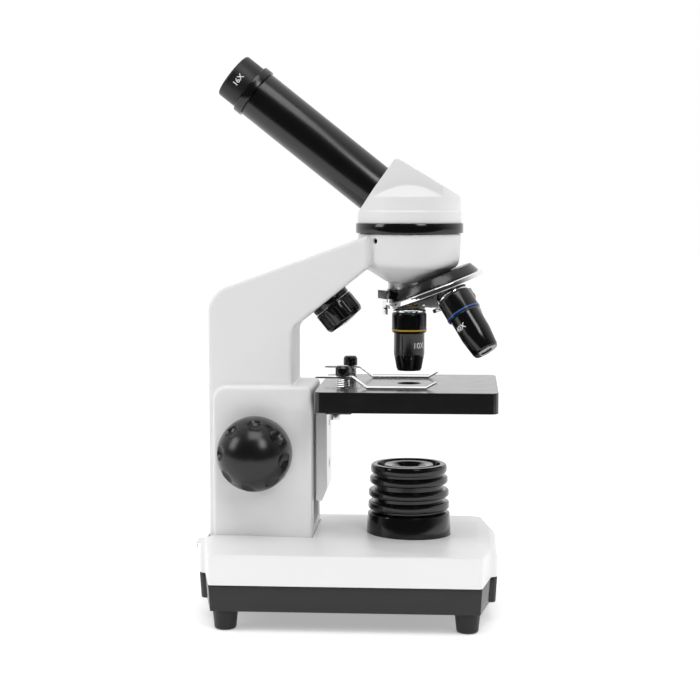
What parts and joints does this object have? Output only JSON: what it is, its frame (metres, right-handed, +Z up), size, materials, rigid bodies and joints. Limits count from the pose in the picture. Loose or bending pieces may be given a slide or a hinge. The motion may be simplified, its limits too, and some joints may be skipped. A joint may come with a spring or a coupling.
{
  "type": "microscope",
  "caption": "Upright monocular student microscope: inclined eyepiece tube, revolving nosepiece with objectives, square stage with clips, rack focus knobs, lamps above and below the stage.",
  "frame": {"origin": "middle of the object's box, on the surface that the rubber feet stand on", "axes": "+Z up, +X from the arm towards the free end of the stage, +Y to the far side of the base"},
  "size_m": [0.1554, 0.112, 0.2831],
  "materials": {
    "white_enamel": "satin",
    "white_plastic": "satin",
    "black_plastic": "satin",
    "gloss_black": "gloss",
    "satin_black": "satin anodised",
    "stage_black": "matte black anodised",
    "black_rubber": "matte",
    "chrome": "polished",
    "steel": "bright",
    "brass": "turned",
    "satin_aluminium": "satin",
    "glass": "polished",
    "board_green": "solder mask",
    "cell_wrap": "film",
    "led_white": "gloss",
    "band_colours": "gloss enamel"
  },
  "bodies": {
    "stand": {"base_shell": "white_plastic", "base_plate": "black_plastic", "rubber_feet": "black_rubber", "foot_screws": "steel", "battery_tray": "black_plastic", "batteries": "cell_wrap", "battery_springs": "steel", "battery_cover": "black_plastic", "control_board": "board_green", "power_jack": "chrome", "jack_nut": "chrome", "arm": "white_enamel", "arm_screws": "steel", "shaft_bushes": "brass", "guide_rails": "steel", "head_lock_screw": "satin_black", "lamp_housing": "gloss_black", "lamp_board": "led_white", "collector_lens": "glass", "upper_lamp_collar": "gloss_black", "upper_lamp_led": "led_white", "nosepiece_collar": "satin_aluminium", "nosepiece_base": "satin_black", "nosepiece_bracket": "gloss_black", "click_spring": "chrome", "pivot_screw": "steel"},
    "light_switch": {"light_switch": "gloss_black"},
    "upper_lamp": {"upper_lamp_barrel": "gloss_black", "upper_lamp_lens": "glass"},
    "revolver": {"revolver": "chrome", "objective_4x": "gloss_black", "objective_10x": "gloss_black", "objective_40x": "gloss_black", "objective_bands": "band_colours", "objective_lenses": "glass"},
    "head": {"head_shell": "white_plastic", "swivel_ring": "gloss_black", "head_flange": "satin_aluminium", "prism": "glass", "eyepiece_tube": "satin_black"},
    "eyepiece": {"eyepiece_barrel": "satin_black", "eyecup": "black_rubber", "eyepiece_lenses": "glass"},
    "stage": {"carriage": "satin_aluminium", "slide_block": "satin_aluminium", "focus_rack": "brass", "carriage_screws": "steel", "stage_bracket": "black_plastic", "stage_screws": "steel", "stage_plate": "stage_black", "diaphragm_screw": "steel", "clip_posts": "steel", "clip_knobs": "gloss_black", "clip_springs": "chrome"},
    "diaphragm": {"diaphragm": "satin_black"},
    "clip_near": {"clip_near": "chrome"},
    "clip_far": {"clip_far": "chrome"},
    "focus": {"focus_shaft": "steel", "focus_pinion": "brass", "focus_knobs": "black_plastic"}
  },
  "joints": [
    {"name": "head_swivel", "type": "hinge", "parent": "stand", "child": "head", "pos_m": [0.03235, 0, 0.1993], "axis": [0, 0, 1], "continuous": true},
    {"name": "eyepiece_pull", "type": "slide", "parent": "head", "child": "eyepiece", "axis": [-0.7815, 0, 0.6239], "range_m": [0, 0.03]},
    {"name": "revolver_turn", "type": "hinge", "parent": "stand", "child": "revolver", "pos_m": [0.03235, 0, 0.199], "axis": [0.3584, 0, -0.9336], "continuous": true},
    {"name": "stage_lift", "type": "slide", "parent": "stand", "child": "stage", "axis": [0, 0, 1], "range_m": [-0.015, 0.001]},
    {"name": "focus_turn", "type": "hinge", "parent": "stand", "child": "focus", "pos_m": [-0.04355, 0, 0.0847], "axis": [0, 1, 0], "range_deg": [-10, 144]},
    {"name": "diaphragm_turn", "type": "hinge", "parent": "stage", "child": "diaphragm", "pos_m": [0.04735, 0, 0.1118], "axis": [0, 0, 1], "continuous": true},
    {"name": "clip_near_turn", "type": "hinge", "parent": "stage", "child": "clip_near", "pos_m": [0.00035, -0.0274, 0.123], "axis": [0, 0, 1], "range_deg": [-60, 8]},
    {"name": "clip_far_turn", "type": "hinge", "parent": "stage", "child": "clip_far", "pos_m": [0.00035, 0.0274, 0.123], "axis": [0, 0, 1], "range_deg": [-8, 60]},
    {"name": "upper_lamp_turn", "type": "hinge", "parent": "stand", "child": "upper_lamp", "pos_m": [-0.00865, 0, 0.16018], "axis": [0.6269, 0, -0.7791], "range_deg": [0, 90]},
    {"name": "switch_tilt", "type": "hinge", "parent": "stand", "child": "light_switch", "pos_m": [0.00055, 0.051, 0.0322], "axis": [1, 0, 0], "range_deg": [-8, 8]}
  ],
  "couplings": [
    {"joint": "focus_turn", "follows": "stage_lift", "rad_per_m": -166.67}
  ]
}
